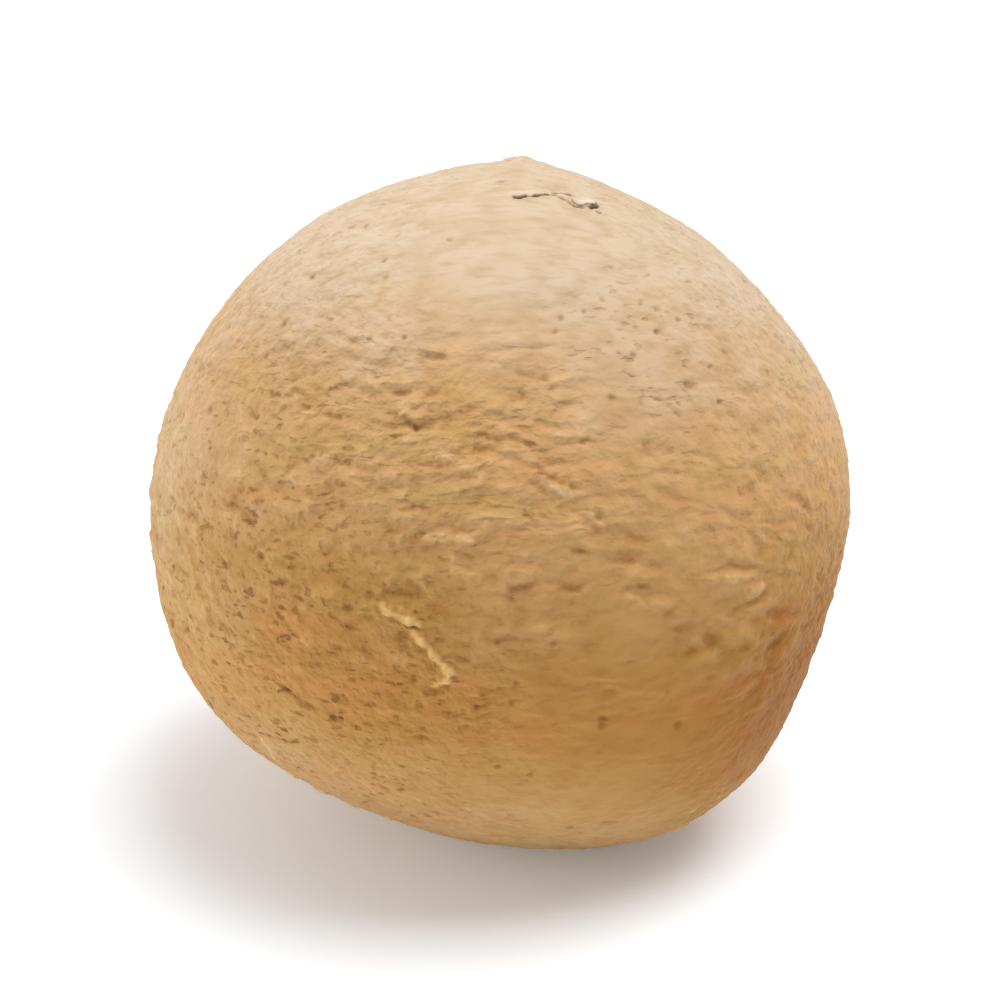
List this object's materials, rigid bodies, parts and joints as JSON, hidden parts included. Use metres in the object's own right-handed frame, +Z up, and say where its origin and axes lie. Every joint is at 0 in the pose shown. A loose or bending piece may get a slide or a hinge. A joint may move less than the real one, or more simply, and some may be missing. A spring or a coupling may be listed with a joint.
{
  "type": "betel nut",
  "caption": "Whole dried betel nut (areca palm seed): a round, woody nut with a low pointed tip, resting on its flattened end.",
  "frame": {"origin": "on the resting surface, under the middle of the nut's box", "axes": "+Z up, towards the nut's pointed tip; +X across its widest direction; -Y is the front"},
  "size_m": [0.028, 0.0274, 0.0267],
  "materials": {
    "nut_skin": "matte"
  },
  "bodies": {
    "root": {"nut": "nut_skin"}
  },
  "joints": []
}
